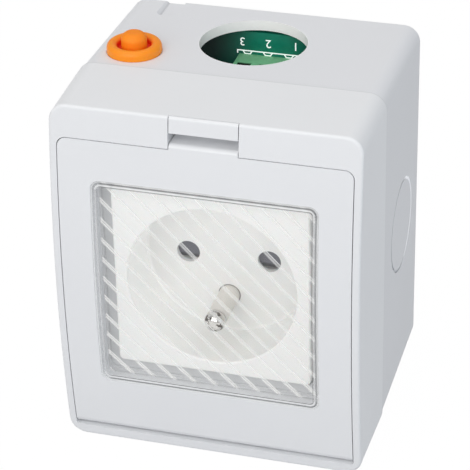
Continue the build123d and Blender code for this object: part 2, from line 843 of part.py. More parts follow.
def make_earth_strap():
    """Strap clenched on the earth pin, bent back to the main board."""
    start = module_split + 1.25
    strap_z = -earth_offset - earth_strap_drop
    plate_y = (start, start + tail_thickness)
    plate = block((-tail_width / 2, tail_width / 2), plate_y, (strap_z - tail_thickness / 2, -earth_offset))
    plate += rod_y(earth_collar_radius, 0, -earth_offset, start, start + tail_thickness)
    plate -= rod_y(earth_shank_radius + 0.02, 0, -earth_offset, 0, box_depth)
    return plate + tail(0, strap_z, start)


def make_socket_screws():
    """Two screws through the ears of the socket module."""
    shape = screw(screw_head_radius, screw_head_height, screw_radius - 0.22, module_screw_length)
    return [facing_front(shape, sign * ear_offset, ear_front, 0) for sign in (-1, 1)]


def make_main_board():
    """Main circuit board, waisted to clear the posts, with holes and tail slots."""
    waist_z = board_half_z - board_bar_height
    sketch = Rectangle(2 * board_half_x, 2 * board_half_z)
    for sign in (-1, 1):
        width = board_half_x - board_waist
        sketch -= Pos(sign * (board_waist + width / 2 + 1), 0) * Rectangle(width + 2, 2 * waist_z)
    for x, z in four_corners(standoff_x, standoff_z):
        sketch -= Pos(x, z) * Circle(board_screw_radius + 0.2)
    body = slab(sketch, board_front, board_back)
    strap_z = -earth_offset - earth_strap_drop
    for x, z in ((-contact_spacing / 2, 0), (contact_spacing / 2, 0), (0, strap_z)):
        body -= tail_room(x, z)
    for x in header_places():
        body -= header_pin(x, header_pin_width / 2 + 0.1, 0, box_depth)
    return body


def make_board_screws():
    """Four screws that hold the main board on its standoffs."""
    shape = screw(1.9, 1.3, board_screw_radius - 0.05, board_screw_length + 1, drive=0.5)
    return [facing_front(shape, x, board_front, z) for x, z in four_corners(standoff_x, standoff_z)]


def pole_places():
    """Places of the terminal poles across the width."""
    first = terminal_x - (pole_count - 1) / 2 * pole_pitch
    return [first + index * pole_pitch for index in range(pole_count)]


def make_terminal_block():
    """Screw terminal: wire entries on top, screw wells in front, stepped shoulders."""
    front = board_front - terminal_depth
    left = terminal_x - pole_block / 2
    body = block((left, left + pole_block), (front, board_front), (terminal_bottom, terminal_top))
    step_x = (left - 1, left + pole_block + 1)
    step_y = (front - 1, front + terminal_step)
    body -= block(step_x, step_y, (terminal_top - terminal_step, terminal_top + 1))
    body -= block(step_x, step_y, (terminal_bottom - 1, terminal_bottom + terminal_step))
    for x in pole_places():
        entry = wire_entry_size / 2
        y = front + wire_entry_front
        entry_z = (terminal_top - wire_entry_depth, terminal_top + 1)
        body -= block((x - entry, x + entry), (y, y + wire_entry_size), entry_z)
        well_z = terminal_top - terminal_height / 2
        body -= rod_y(terminal_screw_radius + 0.2, x, well_z, front - 1, y + 0.5)
    return body


def make_terminal_clamps():
    """Wire clamp in each pole, a small cage open to the wire entry."""
    front = board_front - terminal_depth + wire_entry_front
    clamps = []
    for x in pole_places():
        half = wire_entry_size / 2 - 0.05
        z_low = terminal_top - wire_entry_depth + 0.05
        back = front + wire_entry_size
        cage = block((x - half, x + half), (front + 0.05, back - 0.05), (z_low, terminal_top - clamp_drop))
        inner = half - clamp_wall
        room_y = (front + 0.05 + clamp_wall, back - 0.05 - clamp_wall)
        clamps.append(cage - block((x - inner, x + inner), room_y, (z_low - 1, terminal_top)))
    return clamps


def make_terminal_screws():
    """Slotted screws of the terminal block."""
    front = board_front - terminal_depth
    well_z = terminal_top - terminal_height / 2
    screws = []
    for x in pole_places():
        body = rod_y(terminal_screw_radius, x, well_z, front + 0.5, front + wire_entry_front)
        body -= block((x - 2, x + 2), (front, front + 1), (well_z - 0.25, well_z + 0.25))
        screws.append(body)
    return screws


def board_part(x, z, height):
    """Box that stands on the front of the main board."""
    return block(x, (board_front - height, board_front), z)


def make_relay():
    """Power relay with a rounded case."""
    height = board_front - module_back - relay_gap
    x = (relay_edge - board_waist, -relay_middle)
    body = board_part(x, (relay_low, parts_top), height)
    return fillet(body.edges().filter_by(Axis.Y), 0.8)


def make_power_module():
    """Potted power supply that feeds the low-voltage side."""
    height = board_front - module_back - power_gap
    x = (power_middle, board_waist - power_edge)
    body = board_part(x, (power_low, parts_top), height)
    body = fillet(body.edges().filter_by(Axis.Y), power_rim)
    potted_x = (x[0] + power_rim, x[1] - power_rim)
    potted_z = (power_low + power_rim, parts_top - power_rim)
    front = board_front - height
    return body - block(potted_x, (front - 1, front + power_sink), potted_z)


def make_film_capacitor():
    """Suppression capacitor."""
    left = film_edge - board_waist
    body = board_part((left, left + film_width), (film_foot - board_half_z, film_top), film_height)
    return fillet(body.edges().filter_by(Axis.Y), 0.6)


def make_smoothing_capacitors():
    """Two smoothing capacitors with a rolled rim and a vented top."""
    cans = []
    low = can_foot - board_half_z
    front = board_front - can_height
    half = can_mark_width / 2
    for z in (low + can_pitch, low):
        can = rod_y(can_radius, can_x, z, front, board_front)
        can = fillet(can.edges().filter_by(GeomType.CIRCLE).sort_by(Axis.Y)[0], 0.5)
        y = (0, front + can_mark_depth)
        can -= block((can_x - can_radius, can_x + can_radius), y, (z - half, z + half))
        can -= block((can_x - half, can_x + half), y, (z - can_radius, z + can_radius))
        cans.append(can)
    return cans


def make_varistor():
    """Varistor disc on its two leads."""
    left = varistor_edge - board_waist
    middle = board_front - varistor_lead_length - varistor_radius
    disc = rod_x(varistor_radius, middle, varistor_z, left, left + varistor_thickness)
    disc = fillet(disc.edges().filter_by(GeomType.CIRCLE), 1.2)
    for side in (-0.5, 0.5):
        z = varistor_z + side * varistor_lead_pitch
        disc += rod_y(varistor_lead, left + varistor_thickness / 2, z, middle + 1, board_front)
    return disc


def make_fuse():
    """Fuse in a round case."""
    body = rod_y(fuse_radius, board_waist - fuse_edge, fuse_z, board_front - fuse_height, board_front)
    return fillet(body.edges().filter_by(GeomType.CIRCLE).sort_by(Axis.Y)[0], 0.5)


def make_filter_coil():
    """Drum choke of the mains filter: two flanges with the winding between them."""
    z = drum_foot - board_half_z
    front = board_front - drum_height
    body = rod_y(drum_core_radius, drum_x, z, front, board_front)
    body += rod_y(drum_radius, drum_x, z, board_front - drum_flange, board_front)
    return body + rod_y(drum_radius, drum_x, z, front, front + drum_flange)


def radio_limits():
    """Limits of the radio board across the width and along the height."""
    right = can_x - can_radius - radio_can_gap
    return (radio_left, right), (radio_foot - board_half_z, radio_top)


def make_radio_board():
    """Board of the radio module."""
    x, z = radio_limits()
    return board_part(x, z, radio_thickness)


def make_radio_shield():
    """Metal can over the radio module."""
    x, z = radio_limits()
    can_limits = (x[0] + shield_rim, x[1] - shield_aerial_room)
    y = (board_front - radio_thickness - shield_height, board_front - radio_thickness)
    body = block(can_limits, y, (z[0] + shield_rim, z[1] - shield_rim))
    return fillet(body.faces().sort_by(Axis.Y)[0].edges(), 0.4)


def make_button_board():
    """Small board under the push button, square to the main board."""
    low = button_board_top - board_thickness
    x = (button_board_left, button_board_left + button_board_width)
    body = block(x, (button_board_front, button_board_back), (low, button_board_top))
    for hole_x, hole_y in (inner_screw, outer_screw):
        body -= rod_z(board_screw_radius + 0.2, hole_x, hole_y, 0, box_height)
    return body


def header_places():
    """Places of the header's pins across the width."""
    first = header_x - (header_pins - 1) / 2 * header_pitch
    return [first + index * header_pitch for index in range(header_pins)]


def header_pin(x, half, y_front, y_back):
    """One square pin of the header."""
    z = button_board_top + header_height / 2
    return block((x - half, x + half), (y_front, y_back), (z - half, z + half))


def make_board_header():
    """Pin header on the button board, whose pins reach through the main board."""
    half = header_pins * header_pitch / 2
    back = button_board_back - header_inset
    front = back - header_depth
    top = button_board_top + header_height
    body = block((header_x - half, header_x + half), (front, back), (button_board_top, top))
    for x in header_places():
        body += header_pin(x, header_pin_width / 2, front, board_back + 0.6)
    return body


def make_button_board_screws():
    """Two screws that hold the button board to its posts."""
    low = button_board_top - board_thickness
    shape = Rot(180, 0, 0) * screw(1.8, 1.2, board_screw_radius - 0.25, board_screw_length, drive=0.5)
    return [Pos(x, y, low) * shape for x, y in (inner_screw, outer_screw)]


def make_tact_switch():
    """Body of the push switch, with its plunger hole and four legs."""
    half = switch_size / 2
    sides = ((button_x - half, button_x + half), (button_y - half, button_y + half))
    body = block(sides[0], sides[1], (button_board_top, switch_top))
    body = fillet(body.edges().filter_by(Axis.Z), 0.5)
    depth = button_travel + 1.4
    hole = switch_plunger_radius + switch_clearance
    body -= rod_z(hole, button_x, button_y, switch_top - depth, box_height)
    for sx in (-1, 1):
        for sy in (-1, 1):
            x = button_x + sx * (half + 0.4)
            y = button_y + sy * 2.2
            leg_top = button_board_top + 0.4
            body += block((x - 0.5, x + 0.5), (y - 0.35, y + 0.35), (button_board_top, leg_top))
    return body


def make_switch_plunger():
    """Plunger of the push switch."""
    low = switch_top - 1.2
    return rod_z(switch_plunger_radius, button_x, button_y, low, plunger_top)


def make_button_boot():
    """Rubber boot: low round bead on the box, a floor round the cap, a neck and an inner flange."""
    top = button_seat + boot_height + boot_seat_sink
    bead = rod_z(boot_radius, button_x, button_y, button_seat, top)
    bead -= rod_z(boot_inner_radius, button_x, button_y, button_seat - 1, top + 1)
    rims = bead.edges().filter_by(GeomType.CIRCLE).group_by(Axis.Z)
    bead = fillet(rims[-1], (boot_radius - boot_inner_radius) / 2 - 0.05)
    foot = bead.edges().filter_by(GeomType.CIRCLE).group_by(Axis.Z)[0].sort_by(SortBy.LENGTH)[-1]
    bead = fillet(foot, boot_foot_round)
    inner_face = rear_inner_z - seat_slope * (button_y + boot_flange_radius - rear_start)
    low = inner_face - 0.05 - boot_flange_height
    floor_z = button_seat + boot_seat_sink + boot_floor_height
    body = bead + rod_z(boot_neck_radius, button_x, button_y, low, floor_z)
    body += rod_z(boot_flange_radius, button_x, button_y, low, low + boot_flange_height)
    body -= rod_z(cap_flange_radius + 0.25, button_x, button_y, low - 1, floor_z - boot_floor_thickness)
    return body - rod_z(cap_radius + cap_clearance, button_x, button_y, low - 1, box_height)


def make_button_cap():
    """Domed cap with a flange under the boot's floor and a stem on the switch plunger."""
    top = button_seat + boot_seat_sink + cap_rise
    floor_low = button_seat + boot_seat_sink + boot_floor_height - boot_floor_thickness
    flange_top = floor_low - 0.15
    body = rod_z(cap_radius, button_x, button_y, flange_top - 0.1, top)
    body = fillet(body.edges().filter_by(GeomType.CIRCLE).sort_by(Axis.Z)[-1], cap_round)
    body += rod_z(cap_flange_radius, button_x, button_y, flange_top - cap_flange_height, flange_top)
    return body + rod_z(cap_stem_radius, button_x, button_y, plunger_top, flange_top)


def write(name, shape):
    """Write one node, moved so that the origin lies under the middle of the box."""
    pieces = list(shape) if isinstance(shape, list) else [shape]
    solids = [solid for piece in pieces for solid in piece.solids()]
    placed = [Pos(0, -box_depth / 2, box_height / 2) * solid for solid in solids]
    result = placed[0] if len(placed) == 1 else Compound(placed)
    export_step(result, os.path.join("parts", name + ".step"))


def main():
    os.makedirs("parts", exist_ok=True)
    write("rear_box", make_rear_box())
    write("front_cover", make_front_cover())
    write("shell_seal", make_shell_seal())
    write("shell_screws", make_shell_screws())
    write("lid_frame", make_lid_frame())
    write("lid_window", make_lid_window())
    write("lid_seal", make_lid_seal())
    write("hinge_pins", make_hinge_pins())
    write("hinge_spring", make_hinge_spring())
    write("socket_body", make_socket_body())
    write("socket_back", make_socket_back())
    write("socket_shutter", make_socket_shutter())
    write("shutter_spring", make_shutter_spring())
    write("live_contact", make_contact(-1))
    write("neutral_contact", make_contact(1))
    write("earth_pin", make_earth_pin())
    write("earth_strap", make_earth_strap())
    write("socket_screws", make_socket_screws())
    write("main_board", make_main_board())
    write("board_screws", make_board_screws())
    write("terminal_block", make_terminal_block())
    write("terminal_clamps", make_terminal_clamps())
    write("terminal_screws", make_terminal_screws())
    write("relay", make_relay())
    write("power_module", make_power_module())
    write("film_capacitor", make_film_capacitor())
    write("smoothing_capacitors", make_smoothing_capacitors())
    write("varistor", make_varistor())
    write("fuse", make_fuse())
    write("filter_coil", make_filter_coil())
    write("radio_board", make_radio_board())
    write("radio_shield", make_radio_shield())
    write("button_board", make_button_board())
    write("board_header", make_board_header())
    write("button_board_screws", make_button_board_screws())
    write("tact_switch", make_tact_switch())
    write("switch_plunger", make_switch_plunger())
    write("button_boot", make_button_boot())
    write("button_cap", make_button_cap())


main()
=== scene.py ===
"""Looks of a splash-proof smart socket box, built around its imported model.

All lengths are in metres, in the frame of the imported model: X to the right seen from the lid,
Y from the lid to the wall side, Z up to the face with the cable hole.
"""

import logging
import math
from dataclasses import dataclass
from enum import Enum
from functools import reduce
from typing import ClassVar, NamedTuple, Optional, Sequence, Union

import bmesh
import bpy
from mathutils import Matrix, Vector

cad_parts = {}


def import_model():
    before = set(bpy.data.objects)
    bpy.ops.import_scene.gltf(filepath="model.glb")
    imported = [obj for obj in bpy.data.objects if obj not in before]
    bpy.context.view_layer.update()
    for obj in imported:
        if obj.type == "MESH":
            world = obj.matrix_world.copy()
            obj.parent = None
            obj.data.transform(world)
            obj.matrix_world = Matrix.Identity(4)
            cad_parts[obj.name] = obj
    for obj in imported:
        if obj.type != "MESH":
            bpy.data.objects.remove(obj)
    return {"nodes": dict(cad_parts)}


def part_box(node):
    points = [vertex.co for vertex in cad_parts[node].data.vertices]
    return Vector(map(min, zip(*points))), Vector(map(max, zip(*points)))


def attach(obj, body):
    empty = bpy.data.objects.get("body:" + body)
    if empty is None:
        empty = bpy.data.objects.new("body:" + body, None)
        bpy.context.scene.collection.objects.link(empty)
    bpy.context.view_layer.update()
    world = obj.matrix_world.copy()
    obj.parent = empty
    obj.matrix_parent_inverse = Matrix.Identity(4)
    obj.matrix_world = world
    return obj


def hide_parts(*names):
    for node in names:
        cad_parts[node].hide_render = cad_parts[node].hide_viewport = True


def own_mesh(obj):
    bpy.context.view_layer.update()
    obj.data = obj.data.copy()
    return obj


LOG = logging.getLogger("socket_box")

Color = tuple[float, float, float]
Paint = Union[Color, bpy.types.NodeSocket]
Number = Union[int, float, "Term"]
Dressing = dict[str, tuple[str, ...]]

BLACK: Color = (0.0, 0.0, 0.0)
WHITE: Color = (1.0, 1.0, 1.0)

# Where the front of the box, the middle of the socket and the front of the main board are.
FRONT_LINE = -0.0305
SOCKET_HEIGHT = 0.0433
BOARD_FRONT = 0.0247

# Radius of the front face, which is curved from top to bottom.
FACE_RADIUS = 0.302

# Number of corners round a wire.
WIRE_SIDES = 8


class Ramp(NamedTuple):
    """A soft edge of a mask: where it is one half, and over what distance it rises."""

    limit: float
    width: float = 0.0001


class Span(NamedTuple):
    """Both edges of a band in a mask, and over what distance each of them rises."""

    low: float
    high: float
    width: float = 0.0001


class Pattern(NamedTuple):
    """A random pattern: the size of its features, the number of finer layers and their strength."""

    size: float
    layers: float = 2.0
    strength: float = 0.5


class Texture(Enum):
    """Fine texture that is left on a surface, with its pattern and its depth."""

    SPARK_ERODED = (Pattern(0.00035, 3.0, 0.6), 0.00001)
    POLISHED = (Pattern(0.006, 1.0), 0.000012)
    MATT = (Pattern(0.0003), 0.000008)
    DRAWN = (Pattern(0.0004), 0.000004)

    def __init__(self, pattern: Pattern, depth: float) -> None:
        """Keep the pattern and the depth."""
        self.pattern = pattern
        self.depth = depth


def srgb(red: int, green: int, blue: int) -> Color:
    """Turn display values from 0 to 255 into a linear colour.

    Args:
        red: Red as displayed.
        green: Green as displayed.
        blue: Blue as displayed.

    Returns:
        The linear colour.
    """

    def linear(value: int) -> float:
        """Return one channel in linear light."""
        part = value / 255
        return part / 12.92 if part <= 0.04045 else ((part + 0.055) / 1.055) ** 2.4

    return (linear(red), linear(green), linear(blue))


class Term:
    """A number that varies over a surface, with Python's operators as Math nodes."""

    def __init__(self, tree: bpy.types.NodeTree, socket: bpy.types.NodeSocket) -> None:
        """Wrap an output socket of a node tree."""
        self.tree = tree
        self.socket = socket

    def math(self, operation: str, *values: Number) -> "Term":
        """Add a Math node.

        Args:
            operation: Blender's name of the operation.
            values: Its inputs in order, as numbers or terms.

        Returns:
            The node's result.
        """
        node = self.tree.nodes.new("ShaderNodeMath")
        node.operation = operation
        for target, value in zip(node.inputs, values):
            if isinstance(value, Term):
                self.tree.links.new(value.socket, target)
            else:
                target.default_value = value
        return Term(self.tree, node.outputs[0])

    def __add__(self, other: Number) -> "Term":
        """Return self + other."""
        return self.math("ADD", self, other)

    def __radd__(self, other: Number) -> "Term":
        """Return other + self."""
        return self.math("ADD", other, self)

    def __sub__(self, other: Number) -> "Term":
        """Return self - other."""
        return self.math("SUBTRACT", self, other)

    def __rsub__(self, other: Number) -> "Term":
        """Return other - self."""
        return self.math("SUBTRACT", other, self)

    def __mul__(self, other: Number) -> "Term":
        """Return self * other."""
        return self.math("MULTIPLY", self, other)

    def __rmul__(self, other: Number) -> "Term":
        """Return other * self."""
        return self.math("MULTIPLY", other, self)

    def __truediv__(self, other: Number) -> "Term":
        """Return self / other."""
        return self.math("DIVIDE", self, other)

    def __rtruediv__(self, other: Number) -> "Term":
        """Return other / self."""
        return self.math("DIVIDE", other, self)

    def __abs__(self) -> "Term":
        """Return the size of self."""
        return self.math("ABSOLUTE", self)

    def least(self, other: Number) -> "Term":
        """Return the smaller of self and other."""
        return self.math("MINIMUM", self, other)

    def most(self, other: Number) -> "Term":
        """Return the larger of self and other."""
        return self.math("MAXIMUM", self, other)

    def reach(self, other: "Term") -> "Term":
        """Return the distance from the place where self and other are both 0."""
        return self.math("SQRT", self * self + other * other)

    def above(self, edge: Ramp) -> "Term":
        """Return a mask that rises from 0 to 1 at an edge."""
        ramp = (self - edge.limit) / edge.width + 0.5
        return ramp.most(0.0).least(1.0)

    def below(self, edge: Ramp) -> "Term":
        """Return a mask that falls from 1 to 0 at an edge."""
        return 1.0 - self.above(edge)

    def between(self, span: Span) -> "Term":
        """Return a mask that is 1 between two edges and 0 outside them."""
        return self.above(Ramp(span.low, span.width)) * self.below(Ramp(span.high, span.width))

    def wave(self, pitch: float) -> "Term":
        """Return the distance to the nearest whole multiple of a pitch."""
        return abs(self.math("PINGPONG", self, pitch / 2))


def rays(tree: bpy.types.NodeTree, *kinds: str) -> Term:
    """Return 1 for light rays of the given kinds and 0 for others.

    Args:
        tree: Node tree of a material or of the world.
        kinds: Kinds of rays, such as Camera or Shadow.

    Returns:
        The mask.
    """
    path = tree.nodes.new("ShaderNodeLightPath")
    return reduce(Term.most, [Term(tree, path.outputs[f"Is {kind} Ray"]) for kind in kinds])


class Surface:
    """A node material while it is put together round one Principled shader."""

    def __init__(self, name: str) -> None:
        """Start an empty material.

        Args:
            name: Name of the material.
        """
        self.material = bpy.data.materials.new(name)
        self.material.use_nodes = True
        self.tree = self.material.node_tree
        self.shader = self.tree.nodes["Principled BSDF"]
        self._place: Optional[bpy.types.NodeSocket] = None
        self._patterns: dict[Pattern, Term] = {}

    def node(self, kind: str, **inputs: object) -> bpy.types.Node:
        """Add any node.

        Args:
            kind: Type name of the node.
            inputs: Values or links of its sockets, with _ for a space in a name.

        Returns:
            The new node.
        """
        node = self.tree.nodes.new(kind)
        for key, value in inputs.items():
            self.feed(node.inputs[key.replace("_", " ")], value)
        return node

    def feed(self, target: bpy.types.NodeSocket, value: object) -> None:
        """Link or set a socket.

        Args:
            target: The input socket.
            value: A term, an output socket or a plain value.
        """
        if isinstance(value, Term):
            self.tree.links.new(value.socket, target)
        elif isinstance(value, bpy.types.NodeSocket):
            self.tree.links.new(value, target)
        elif isinstance(value, tuple) and target.type == "RGBA":
            target.default_value = (*value, 1.0)
        else:
            target.default_value = value

    def place(self) -> bpy.types.NodeSocket:
        """Return the object coordinates, in metres."""
        if self._place is None:
            self._place = self.tree.nodes.new("ShaderNodeTexCoord").outputs["Object"]
        return self._place

    def axes(self) -> tuple[Term, Term, Term]:
        """Return X, Y and Z of the object coordinates."""
        split = self.node("ShaderNodeSeparateXYZ", Vector=self.place())
        x, y, z = (Term(self.tree, split.outputs[key]) for key in "XYZ")
        return x, y, z

    def socket_axes(self) -> tuple[Term, Term, Term]:
        """Return how far right of the socket's middle, behind the front line and above it a place is."""
        x, y, z = self.axes()
        return x, y - FRONT_LINE, z - SOCKET_HEIGHT

    def noise(self, pattern: Pattern) -> Term:
        """Return a soft random pattern, with values round one half."""
        if pattern not in self._patterns:
            node = self.node(
                "ShaderNodeTexNoise",
                Vector=self.place(),
                Scale=1.0 / pattern.size,
                Detail=pattern.layers,
                Roughness=pattern.strength,
            )
            self._patterns[pattern] = Term(self.tree, node.outputs["Fac"])
        return self._patterns[pattern]

    def mix(self, mask: Number, low: Paint, high: Paint) -> bpy.types.NodeSocket:
        """Blend two colours.

        Args:
            mask: 0 for the first colour, 1 for the second.
            low: First colour.
            high: Second colour.

        Returns:
            The blended colour.
        """
        node = self.tree.nodes.new("ShaderNodeMix")
        node.data_type = "RGBA"
        # Its sockets for colours come after those for numbers and for vectors.
        factor, first, second, result = node.inputs[0], node.inputs[6], node.inputs[7], node.outputs[2]
        for target, value in ((factor, mask), (first, low), (second, high)):
            self.feed(target, value)
        return result

    def paint(self, **values: object) -> None:
        """Set or link sockets of the shader, with _ for a space in a name."""
        for key, value in values.items():
            self.feed(self.shader.inputs[key.replace("_", " ")], value)

    def relief(self, height: Term, depth: float) -> None:
        """Add fine relief to the shader's normal.

        Args:
            height: Height as a part of the depth.
            depth: Depth in metres.
        """
        bump = self.node("ShaderNodeBump", Height=height, Distance=depth, Strength=1.0)
        self.paint(Normal=bump.outputs["Normal"])


@dataclass(frozen=True, kw_only=True)
class Finish:
    """Moulded plastic, and what all other finishes but the window's share with it.

    Clouds darken its colour by the part that tone says, its roughness has a spread round its
    mean, and a fine texture covers it. A coat, milkiness and glow are left out where they are 0.
    """

    name: str
    color: Color
    tone: float = 0.03
    cloud: Pattern = Pattern(0.018, 3.0)
    roughness: float = 0.42
    spread: float = 0.12
    gloss: Pattern = Texture.SPARK_ERODED.pattern
    texture: Texture = Texture.SPARK_ERODED
    coat: float = 0.0
    coat_roughness: float = 0.08
    milk: float = 0.0
    milk_depth: float = 0.002
    glow: float = 0.0

    def toned(self, share: float) -> Color:
        """Return the finish's colour made darker by a factor."""
        red, green, blue = self.color
        return (red * share, green * share, blue * share)

    def tint(self, surface: Surface, base: Paint) -> Paint:
        """Return the colour with the places where it differs.

        Args:
            surface: The material that is being built.
            base: The colour before that.

        Returns:
            The colour with its changes.
        """
        return base

    def light(self, surface: Surface) -> Paint:
        """Return the colour of the painted glow, black where nothing glows."""
        return self.color

    def shine(self, surface: Surface) -> None:
        """Set how the surface reflects."""
        lowest = self.roughness - self.spread / 2
        surface.paint(Roughness=lowest + self.spread * surface.noise(self.gloss))

    def emboss(self, surface: Surface) -> None:
        """Give the surface its texture."""
        surface.relief(surface.noise(self.texture.pattern), self.texture.depth)

    def material(self) -> bpy.types.Material:
        """Build the material."""
        surface = Surface(self.name)
        base: Paint = self.color
        if self.tone:
            base = surface.mix(surface.noise(self.cloud), self.toned(1 - self.tone), self.color)
        surface.paint(Base_Color=self.tint(surface, base))
        self.shine(surface)
        self.emboss(surface)
        if self.coat:
            surface.paint(Coat_Weight=self.coat, Coat_Roughness=self.coat_roughness)
        if self.milk:
            surface.paint(Subsurface_Weight=self.milk, Subsurface_Scale=self.milk_depth)
        # Painted light: the part glows though it is no lamp.
        if self.glow:
            surface.paint(Emission_Color=self.light(surface), Emission_Strength=self.glow)
        return surface.material


@dataclass(frozen=True, kw_only=True)
class CoverPlastic(Finish):
    """Plastic of the front cover, with the shade of the seam along its back edge."""

    seam: Ramp = Ramp(-0.0078)
    seam_share: float = 0.86

    def tint(self, surface: Surface, base: Paint) -> Paint:
        """Darken the edge at the seam."""
        _, y, _ = surface.axes()
        return surface.mix(y.above(self.seam), base, self.toned(self.seam_share))


@dataclass(frozen=True, kw_only=True)
class RearPlastic(Finish):
    """Rear box plastic: painted light in its cable hole and knock-out grooves, painted shade on its flanks
    and notch.
    """

    glow: float = 0.3
    flank: Ramp = Ramp(0.0341, 0.0008)
    flank_top: Ramp = Ramp(0.0858, 0.001)
    flank_shade_share: float = 0.91
    notch_wall: Span = Span(-0.0259, -0.0255, 0.0003)
    notch_front: Ramp = Ramp(0.0222, 0.0006)
    notch_shade_share: float = 0.84
    hole_y: float = 0.0118
    hole_radius: Ramp = Ramp(0.01232)
    hole_floor: Ramp = Ramp(0.0822, 0.0002)
    hole_wall_light: Color = (0.99, 0.99, 0.98)
    groove_radius: float = 0.011
    groove_half_width: Ramp = Ramp(0.00034)
    groove_side: Ramp = Ramp(0.0341)
    groove_back: Ramp = Ramp(0.004, 0.006)

    def tint(self, surface: Surface, base: Paint) -> Paint:
        """Paint shade on the flanks and on the wall of the notch, and paint light on the wall of the cable
        hole.
        """
        x, y, z = surface.axes()
        flank = abs(x).above(self.flank) * z.below(self.flank_top)
        # Painted shade on the flanks of the box.
        base = surface.mix(flank, base, self.toned(self.flank_shade_share))
        top = z.above(self.hole_floor)
        notch = x.between(self.notch_wall) * y.above(self.notch_front) * top
        # Painted shade on the wall of the notch.
        base = surface.mix(notch, base, self.toned(self.notch_shade_share))
        wall = x.reach(y - self.hole_y).below(self.hole_radius) * top
        # Painted light on the wall of the cable hole.
        return surface.mix(wall, base, self.hole_wall_light)

    def light(self, surface: Surface) -> Paint:
        """Paint light, as a glow, on the far half of the knock-out grooves."""
        x, y, z = surface.axes()
        back, up = y - self.hole_y, z - SOCKET_HEIGHT
        groove = abs(back.reach(up) - self.groove_radius).below(self.groove_half_width)
        far = abs(x).above(self.groove_side) * back.above(self.groove_back)
        # A painted glow on the far half of each knock-out groove.
        return surface.mix(groove * far, BLACK, self.color)


@dataclass(frozen=True, kw_only=True)
class ModulePlastic(Finish):
    """Polished white plastic of the socket, with painted shade round the foot of the earth pin.

    Painted light brightens its recess, its face and its right side, by the parts of the glow given here.
    """

    gap_shade: Color
    tone: float = 0.02
    roughness: float = 0.24
    spread: float = 0.08
    gloss: Pattern = Pattern(0.0005)
    texture: Texture = Texture.POLISHED
    coat: float = 0.2
    milk: float = 0.12
    glow: float = 0.28
    pin_drop: float = 0.010
    gap_radius: Ramp = Ramp(0.00262)
    gap_depth: Ramp = Ramp(0.0185)
    recess_wall: Ramp = Ramp(0.0186, 0.001)
    recess_lit: Ramp = Ramp(-0.012, 0.03)
    recess_shade: float = 0.4
    floor_part: float = 0.42
    upper_floor: Ramp = Ramp(0.004, 0.014)
    upper_floor_part: float = 0.45
    face: Ramp = Ramp(0.0054, 0.0004)
    face_part: float = 0.58
    upper_face: Ramp = Ramp(0.0, 0.04)
    upper_face_part: float = 0.26
    side: Ramp = Ramp(0.0222, 0.0002)
    side_part: float = 0.75

    def tint(self, surface: Surface, base: Paint) -> Paint:
        """Paint shade round the foot of the earth pin."""
        x, depth, z = surface.socket_axes()
        around = x.reach(z + self.pin_drop).below(self.gap_radius)
        # Painted shade round the pin's foot, in place of the clearance round it.
        return surface.mix(around * depth.above(self.gap_depth), base, self.gap_shade)

    def light(self, surface: Surface) -> Paint:
        """Paint light on the recess, the face and the right side."""
        x, depth, z = surface.socket_axes()
        floor = self.floor_part + self.upper_floor_part * z.above(self.upper_floor)
        lit = (z - x).above(self.recess_lit).most(self.recess_shade)
        recess = x.reach(z).above(self.recess_wall).most(floor) * lit
        face = self.face_part + self.upper_face_part * z.above(self.upper_face)
        front = recess + depth.below(self.face) * (face - recess)
        bright = front.most(self.side_part * x.above(self.side))
        # The painted light glows in the module's own colour, black elsewhere.
        return surface.mix(bright, BLACK, self.color)


@dataclass(frozen=True, kw_only=True)
class TerminalPlastic(Finish):
    """Green plastic of the terminal block, with painted shade, near black, down in its wire entries."""

    deep_shade: Color
    tone: float = 0.07
    cloud: Pattern = Pattern(0.006, 3.0)
    roughness: float = 0.43
    spread: float = 0.1
    gloss: Pattern = Pattern(0.0003)
    texture: Texture = Texture.MATT
    middle: float = 0.0005
    pitch: float = 0.00508
    entry_half_width: Ramp = Ramp(0.00165)
    entry_depth: Span = Span(BOARD_FRONT - 0.0079, BOARD_FRONT - 0.0045)
    entry_top: Ramp = Ramp(0.0761, 0.0003)

    def tint(self, surface: Surface, base: Paint) -> Paint:
        """Paint shade in the wire entries."""
        x, y, z = surface.axes()
        pole = (x - self.middle).wave(self.pitch).below(self.entry_half_width)
        entry = pole * y.between(self.entry_depth) * z.below(self.entry_top)
        # Painted shade, near black, in the wire entries.
        return surface.mix(entry, base, self.deep_shade)


